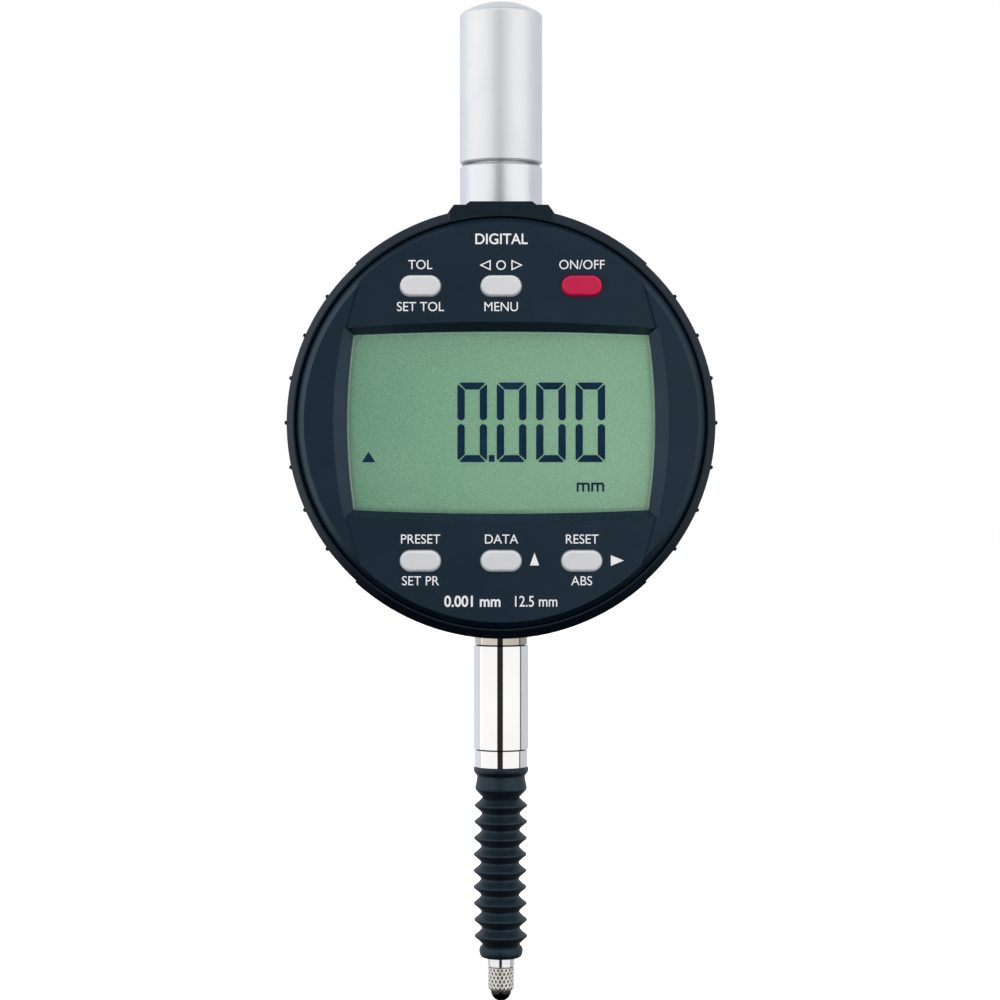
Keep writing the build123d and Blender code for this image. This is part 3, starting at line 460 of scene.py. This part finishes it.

# Light grey strips along the window's two upright edges: a painted highlight where the edges catch the
# light.
painted_edge_highlight = surface("painted_window_edge_highlight", linear((176, 190, 192)), linear((206, 216, 216)), (0.2, 0.3), bump=0)
edges = bmesh.new()
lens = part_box("display_window")
EDGE_TOP = 12.05
EDGE_SIDE = 21.62
EDGE_BULGE = 0.88
EDGE_STEPS = 8  # from the top to the middle, and as many again below
LEFT_WIDTH = 0.13
RIGHT_WIDTH = 0.08
for side, width in ((-1, LEFT_WIDTH), (1, RIGHT_WIDTH)):
    rows = [EDGE_TOP * (1 - i / EDGE_STEPS) for i in range(2 * EDGE_STEPS + 1)]
    line = [EDGE_SIDE - EDGE_BULGE * (z / EDGE_TOP) ** 2 for z in rows]
    for (za, xa), (zb, xb) in zip(zip(rows, line), zip(rows[1:], line[1:])):
        prism(edges, at_dial([
            (side * xa, za), (side * (xa - width), za), (side * (xb - width), zb), (side * xb, zb),
        ]), lens[0].y - 0.002 * MM, lens[0].y - 0.02 * MM)
new_piece("painted_window_edge_highlights", edges, painted_edge_highlight.material, "display_unit")

# ------------------------------------------------------------------ lettering


def lettering(name, text, x, z, size, width, thick=0.0, align="CENTER"):
    """White lettering on the panels, facing forwards, x and z in mm from the middle of the dial."""
    curve = bpy.data.curves.new(name, "FONT")
    curve.body = text
    curve.size = size * MM
    curve.align_x = align
    curve.align_y = "CENTER"
    curve.extrude = LETTER_DEPTH / 2
    curve.offset = thick * MM
    curve.materials.append(print_white.material)
    piece = bpy.data.objects.new(name, curve)
    piece.rotation_euler = (math.pi / 2, 0, 0)
    piece.scale = (width, 1, 1)
    piece.location = (DIAL_X + x * MM, LEGEND_Y, DIAL_Z + z * MM)
    scene.collection.objects.link(piece)
    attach(piece, "display_unit")


LETTER_DEPTH = 0.016 * MM
LEGEND_Y = PANEL_Y - 0.012 * MM
KEY_X = 11.35
ABOVE_TOP_KEYS = 22.1
BELOW_TOP_KEYS = 16.2
ABOVE_LOW_KEYS = -16.46
BELOW_LOW_KEYS = -22.32
RATING_X = 8.0
RATING_Z = -25.22
LEGENDS = (
    ("legend_tol", "TOL", -KEY_X, ABOVE_TOP_KEYS),
    ("legend_set_tol", "SET TOL", -KEY_X, BELOW_TOP_KEYS),
    ("legend_menu", "MENU", 0, BELOW_TOP_KEYS),
    ("legend_on_off", "ON/OFF", KEY_X, ABOVE_TOP_KEYS),
    ("legend_preset", "PRESET", -KEY_X, ABOVE_LOW_KEYS),
    ("legend_set_pr", "SET PR", -KEY_X, BELOW_LOW_KEYS),
    ("legend_data", "DATA", 0, ABOVE_LOW_KEYS),
    ("legend_reset", "RESET", KEY_X, ABOVE_LOW_KEYS),
    ("legend_abs", "ABS", KEY_X, BELOW_LOW_KEYS),
)
for name, text, x, z in LEGENDS:
    lettering(name, text, x, z, size=1.86, width=0.96)
lettering("legend_digital", "DIGITAL", 0, 25.7, size=2.1, width=0.95, thick=0.025)
lettering("legend_resolution", "0.001 mm", -RATING_X, RATING_Z, size=2.15, width=0.92, thick=0.045,
          align="LEFT")
lettering("legend_range", "12.5 mm", RATING_X, RATING_Z, size=2.15, width=0.84, thick=0.012,
          align="RIGHT")


def panel_shape(bm, points):
    prism(bm, at_dial(points), PANEL_Y - 0.002 * MM, PANEL_Y - 0.02 * MM)


def panel_outline(bm, points, inner):
    """An outlined shape: a strip between two matching loops."""
    count = len(points)
    for i in range(count):
        j = (i + 1) % count
        panel_shape(bm, [points[i], points[j], inner[j], inner[i]])


ARROW_TIP = 3.05
ARROW_BACK = 1.45
ARROW_HALF = 0.75
ARROW_MIDDLE = 1.95
ARROW_HOLLOW = 0.66  # the open inside, as a share of the whole arrow
RING_OUT = 0.68
RING_IN = 0.5
arrows = bmesh.new()
for side in (-1, 1):
    outer = [
        (side * ARROW_TIP, ABOVE_TOP_KEYS),
        (side * ARROW_BACK, ABOVE_TOP_KEYS + ARROW_HALF),
        (side * ARROW_BACK, ABOVE_TOP_KEYS - ARROW_HALF),
    ]
    centre_x = side * ARROW_MIDDLE
    inner = [
        (centre_x + (x - centre_x) * ARROW_HOLLOW,
         ABOVE_TOP_KEYS + (z - ABOVE_TOP_KEYS) * ARROW_HOLLOW)
        for x, z in outer
    ]
    panel_outline(arrows, outer, inner)
ring = [(math.cos(a * math.pi / 16), math.sin(a * math.pi / 16)) for a in range(32)]
panel_outline(
    arrows,
    [(RING_OUT * x, ABOVE_TOP_KEYS + RING_OUT * z) for x, z in ring],
    [(RING_IN * x, ABOVE_TOP_KEYS + RING_IN * z) for x, z in ring],
)
panel_shape(arrows, [(4.05, -20.1), (5.35, -20.1), (4.7, -18.3)])
panel_shape(arrows, [(15.42, -18.66), (17.25, -19.4), (15.42, -20.14)])
new_piece("legend_arrows", arrows, print_white.material, "display_unit")

# ------------------------------------------------------------------ bellows, in three pieces

# In mm; z is in the object's own frame.
PEAK_R = 3.93
VALLEY_R = 2.68
FOLD = 2.385
FOLDS = 9
TOP_Z = BELLOWS[1].z / MM
END_Z = BELLOWS[0].z / MM
FIRST_VALLEY = TOP_Z - 4.52
LAST_VALLEY = FIRST_VALLEY - FOLDS * FOLD
WALL = 0.4
STEPS = 96
SWAY = 0.16  # the largest lean, before the factor that makes it grow downwards
SWAY_TOP = TOP_Z - 3.5
SWAY_END = END_Z + 1.5


def sway(z):
    """The soft tube's slight lean off the spindle's axis, in metres, at height z in metres."""
    t = (SWAY_TOP - z / MM) / (SWAY_TOP - SWAY_END)
    t = min(1.0, max(0.0, t))
    return (-SWAY * MM * math.sin(math.pi * t) ** 2 * (0.55 + 0.9 * t), 0.0)


def rounded(points, radius, steps=5):
    """The same open line with each inner corner rounded by an arc-like curve."""
    out = [points[0]]
    for a, b, c in zip(points, points[1:], points[2:]):
        a, b, c = Vector(a), Vector(b), Vector(c)
        reach = min(radius, (a - b).length / 2.2, (c - b).length / 2.2)
        p = b + (a - b).normalized() * reach
        q = b + (c - b).normalized() * reach
        for s in range(steps + 1):
            t = s / steps
            out.append(tuple(p * (1 - t) ** 2 + b * 2 * t * (1 - t) + q * t**2))
    out.append(points[-1])
    return out


def in_metres(points):
    return [(r * MM, z * MM) for r, z in points]


collar = rounded([
    (3.1, TOP_Z), (3.9, TOP_Z), (4.02, TOP_Z - 0.42), (3.9, TOP_Z - 0.9), (3.5, TOP_Z - 1.3),
    (3.5, TOP_Z - 1.75), (3.78, TOP_Z - 3.1), (3.7, TOP_Z - 3.45), (VALLEY_R, FIRST_VALLEY),
], 0.3)
collar += [(VALLEY_R - WALL, FIRST_VALLEY), (VALLEY_R - WALL, TOP_Z - 3.8), (3.1, TOP_Z - 3.7)]
bm = bmesh.new()
lathe(bm, in_metres(collar), STEPS)
bellows_top = new_piece("bellows_upper_collar", bm, rubber.material, "case", 60)

folds = [(VALLEY_R, FIRST_VALLEY)]
for fold in range(FOLDS):
    peak = FIRST_VALLEY - (fold + 0.5) * FOLD
    folds += [
        (3.2, peak + 0.62),
        (PEAK_R + 0.08, peak),
        (3.24, peak - 0.6),
        (VALLEY_R, peak - 0.5 * FOLD),
    ]
outer = rounded(folds, 0.34, 4)
inner = [(r - WALL, z) for r, z in reversed(folds)]
bm = bmesh.new()
lathe(bm, in_metres(outer + inner), STEPS, sway)
bellows_folds = new_piece("bellows_folds", bm, rubber.material, "case", 70)
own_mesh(bellows_folds)

collar = rounded([
    (VALLEY_R - WALL, LAST_VALLEY), (VALLEY_R, LAST_VALLEY), (3.17, LAST_VALLEY - 0.5),
    (3.2, END_Z + 0.8), (2.95, END_Z + 0.1), (2.05, END_Z),
], 0.3)
collar += [(2.03, END_Z + 1.4)]
bm = bmesh.new()
lathe(bm, in_metres(collar), STEPS)
bellows_end = new_piece("bellows_lower_collar", bm, rubber.material, "spindle_set",
                        60)
for piece in (bellows_top, bellows_folds, bellows_end):
    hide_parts("bellows")

# ------------------------------------------------------------------ knurled contact point

contact_r = CONTACT[1].x
contact_low = CONTACT[0].z
NECK_TOP = -39.5 * MM
NECK_R = 1.25 * MM
SEAT_R = 0.9 * MM
TAPER = 0.7 * MM
TAPER_IN = 0.66 * MM
TAPER_POWER = 1.9
KNURL_DEPTH = 0.2 * MM
KNURL_TURNS = 19
KNURL_RISE = 1.1 * MM
KNURL_WIDTH = 0.62  # a pit's half width, as a share of half the knurl's spacing
KNURL_POWER = 0.6
FADE_TOP = 0.05 * MM
FADE_LOW = 0.1 * MM
PROFILE_ROWS = 56
TAPER_ROWS = 18
AROUND = 272

# Painted shade in the knurl's pits: the surface darkens by how far it lies below the uncut shape.
height = contact_metal.split()["Z"]
down = contact_metal.ranged(height, 1, 0, contact_low, contact_low + TAPER)
drop = contact_metal.math("MULTIPLY", contact_metal.math("POWER", down, TAPER_POWER), TAPER_IN)
uncut = contact_metal.math("SUBTRACT", contact_r, drop)
pit = contact_metal.math("SUBTRACT", uncut, contact_metal.radius())
contact_metal.recolour(
    contact_metal.ranged(pit, 0, 1, 0.2 * KNURL_DEPTH, 0.6 * KNURL_DEPTH), linear((46, 38, 34)))


def knurl(u, z, low, high):
    """How deep the diamond knurl is cut at angle share u and height z, 0 to 1."""
    a = (u * KNURL_TURNS + (z - low) / KNURL_RISE) % 1.0
    b = (u * KNURL_TURNS - (z - low) / KNURL_RISE) % 1.0
    ridge = max(abs(a - 0.5), abs(b - 0.5)) * 2
    fade = min(1.0, (high - z) / FADE_TOP, max(0.0, (z - low) / FADE_LOW))
    return (1 - min(1.0, ridge / KNURL_WIDTH)) ** KNURL_POWER * max(0.0, fade)


def contact_profile():
    """(radius, z, knurled) from the neck down to the ball's seat, and the knurl's low and high z."""
    out = [(NECK_R, NECK_TOP, 0), (contact_r - 0.06 * MM, NECK_TOP, 0)]
    high = NECK_TOP - 0.1 * MM
    shoulder = contact_low + TAPER
    low = contact_low + 0.05 * MM
    for i in range(PROFILE_ROWS + 1):
        out.append((contact_r, high + (shoulder - high) * i / PROFILE_ROWS, 1))
    for i in range(1, TAPER_ROWS + 1):
        t = i / TAPER_ROWS
        out.append((contact_r - TAPER_IN * t**TAPER_POWER, shoulder + (contact_low - shoulder) * t, 1))
    out.append((SEAT_R, contact_low + 0.02 * MM, 0))
    return out, low, high


profile, low, high = contact_profile()
bm = bmesh.new()
rings = []
for radius, z, cut in profile:
    ring_verts = []
    for s in range(AROUND):
        depth = KNURL_DEPTH * knurl(s / AROUND, z, low, high) if cut else 0.0
        a = 2 * math.pi * s / AROUND
        ring_verts.append(bm.verts.new(((radius - depth) * math.cos(a), (radius - depth) * math.sin(a), z)))
    rings.append(ring_verts)
for a, b in zip(rings, rings[1:]):
    for s in range(AROUND):
        t = (s + 1) % AROUND
        bm.faces.new((a[s], a[t], b[t], b[s]))
bm.faces.new(rings[0])
bm.faces.new(reversed(rings[-1]))
contact = new_piece("contact_point_knurled", bm, MATERIALS["contact_steel"], "spindle_set",
                    40)
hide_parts("contact_point")

# ------------------------------------------------------------------ measuring spring

COIL_TURNS = 12
COIL_STEPS = 32  # in each turn
WIRE_SIDES = 8
WIRE_R = 0.2 * MM
coil_r = SPRING[1].x - WIRE_R
coil_low, coil_high = SPRING[0].z + WIRE_R, SPRING[1].z - WIRE_R
bm = bmesh.new()
loops = []
for i in range(COIL_TURNS * COIL_STEPS + 1):
    a = 2 * math.pi * i / COIL_STEPS
    z = coil_low + (coil_high - coil_low) * i / (COIL_TURNS * COIL_STEPS)
    out = Vector((math.cos(a), math.sin(a), 0))
    loops.append([
        bm.verts.new(
            out * coil_r + Vector((0, 0, z))
            + out * WIRE_R * math.cos(2 * math.pi * s / WIRE_SIDES)
            + Vector((0, 0, WIRE_R * math.sin(2 * math.pi * s / WIRE_SIDES)))
        )
        for s in range(WIRE_SIDES)
    ])
for a, b in zip(loops, loops[1:]):
    for s in range(WIRE_SIDES):
        t = (s + 1) % WIRE_SIDES
        bm.faces.new((a[s], a[t], b[t], b[s]))
bm.faces.new(loops[0])
bm.faces.new(reversed(loops[-1]))
spring = new_piece("measuring_spring_coil", bm, MATERIALS["spring_steel"], "case", 60)
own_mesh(spring)
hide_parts("measuring_spring")

# ------------------------------------------------------------------ camera

CAMERA_X = -0.00015
CAMERA_Z = 0.02875
CAMERA_DISTANCE = 0.373
LENS = 91.84
camera_data = bpy.data.cameras.new("camera")
camera_data.lens = LENS
camera_data.sensor_width = 36
camera_data.clip_start = 0.01
camera_data.clip_end = 20
camera = bpy.data.objects.new("camera", camera_data)
camera.location = (CAMERA_X, -CAMERA_DISTANCE, CAMERA_Z)
camera.rotation_euler = (math.pi / 2, 0, 0)
scene.collection.objects.link(camera)
scene.camera = camera

# ------------------------------------------------------------------ light and backdrop


def softbox(name, start, end, low, high, strength, reflected_only=False):
    """An upright light from one plan point to another, facing the stem's axis."""
    a, b = Vector((*start, 0)), Vector((*end, 0))
    middle = (a + b) / 2
    middle.z = (low + high) / 2
    data = bpy.data.lights.new(name, "AREA")
    data.shape = "RECTANGLE"
    data.size = (b - a).length
    data.size_y = high - low
    data.energy = strength * math.pi * data.size * data.size_y
    along = (b - a).normalized()
    up = Vector((0, 0, 1))
    facing = along.cross(up)
    if facing.dot(-middle) < 0:
        along, facing = -along, -facing
    light = bpy.data.objects.new(name, data)
    light.matrix_world = Matrix((
        (-along.x, up.x, -facing.x, middle.x),
        (-along.y, up.y, -facing.y, middle.y),
        (-along.z, up.z, -facing.z, middle.z),
        (0, 0, 0, 1),
    ))
    light.visible_camera = False
    light.visible_diffuse = not reflected_only
    scene.collection.objects.link(light)


def plan(azimuth, distance):
    """A point in plan at that angle to the right of the camera, seen from the stem."""
    a = math.radians(azimuth)
    return (distance * math.sin(a), -distance * math.cos(a))


SOFTBOX_LOW = -0.3
SOFTBOX_SPLIT = -0.04
SOFTBOX_HIGH = 0.56
NEAR_DISTANCE = 0.6
FAR_DISTANCE = 0.5
# Below the split, which is level with the contact point, the lights show in reflections only.
for side, near, far in (("left", -16, -97), ("right", 8, 87)):
    start, end = plan(near, NEAR_DISTANCE), plan(far, FAR_DISTANCE)
    softbox(f"softbox_{side}", start, end, SOFTBOX_SPLIT, SOFTBOX_HIGH, 1.0)
    softbox(f"softbox_{side}_low", start, end, SOFTBOX_LOW, SOFTBOX_SPLIT, 1.0, True)

# The top light is aimed at a point 40 mm up the stem's axis.
top = bpy.data.lights.new("softbox_top", "AREA")
top.shape = "RECTANGLE"
top.size, top.size_y = 0.9, 0.5
top.energy = 0.9 * math.pi * top.size * top.size_y
top_light = bpy.data.objects.new("softbox_top", top)
top_light.location = (0, -0.45, 0.75)
top_light.rotation_euler = Vector((0, -0.45, 0.71)).to_track_quat("Z", "Y").to_euler()
top_light.visible_camera = False
scene.collection.objects.link(top_light)

# The camera sees a white world. What lights the object is a world that is bright behind it, dark
# in front of it and below it, and a little dimmer to the right.
world = bpy.data.worlds.new("studio")
scene.world = world
world.use_nodes = True
tree = world.node_tree
tree.nodes.clear()
output = tree.nodes.new("ShaderNodeOutputWorld")
shown = tree.nodes.new("ShaderNodeBackground")
shown.inputs["Color"].default_value = (1, 1, 1, 1)
lighting = tree.nodes.new("ShaderNodeBackground")
lighting.inputs["Color"].default_value = (0.89, 0.92, 1.0, 1)
path = tree.nodes.new("ShaderNodeLightPath")
either = tree.nodes.new("ShaderNodeMixShader")
where = tree.nodes.new("ShaderNodeTexCoord")
direction = tree.nodes.new("ShaderNodeSeparateXYZ")
tree.links.new(where.outputs["Generated"], direction.inputs[0])


def world_range(letter, start, end, low, high):
    """Strength from low to high as a direction's X, Y or Z goes from start to end."""
    node = tree.nodes.new("ShaderNodeMapRange")
    node.inputs["From Min"].default_value = start
    node.inputs["From Max"].default_value = end
    node.inputs["To Min"].default_value = low
    node.inputs["To Max"].default_value = high
    tree.links.new(direction.outputs[letter], node.inputs["Value"])
    return node.outputs["Result"]


def world_product(a, b):
    node = tree.nodes.new("ShaderNodeMath")
    node.operation = "MULTIPLY"
    tree.links.new(a, node.inputs[0])
    tree.links.new(b, node.inputs[1])
    return node.outputs[0]


behind = world_range("Y", start=0.0, end=0.12, low=0.03, high=0.86)
above = world_range("Z", start=-0.6, end=-0.3, low=0.05, high=1.0)
leftward = world_range("X", start=-0.4, end=0.4, low=0.95, high=0.8)
tree.links.new(world_product(world_product(behind, above), leftward), lighting.inputs["Strength"])
tree.links.new(path.outputs["Is Camera Ray"], either.inputs[0])
tree.links.new(lighting.outputs[0], either.inputs[1])
tree.links.new(shown.outputs[0], either.inputs[2])
tree.links.new(either.outputs[0], output.inputs["Surface"])

floor_nodes = Nodes("floor_white")
floor_nodes.set(
    Base_Color=(0.9, 0.9, 0.9, 1), Roughness=0.9, Emission_Strength=1.0, Emission_Color=(1, 1, 1, 1))
bm = bmesh.new()
FLOOR_HALF = 3
floor_z = BALL[0].z - 0.5 * MM
corners = [
    (-FLOOR_HALF, -FLOOR_HALF), (FLOOR_HALF, -FLOOR_HALF),
    (FLOOR_HALF, FLOOR_HALF), (-FLOOR_HALF, FLOOR_HALF)]
bm.faces.new([bm.verts.new((x, y, floor_z)) for x, y in corners])
floor = new_piece("floor", bm, floor_nodes.material, None)
floor.visible_glossy = False
floor.visible_diffuse = False

scene.view_settings.view_transform = "Standard"
scene.view_settings.look = "None"
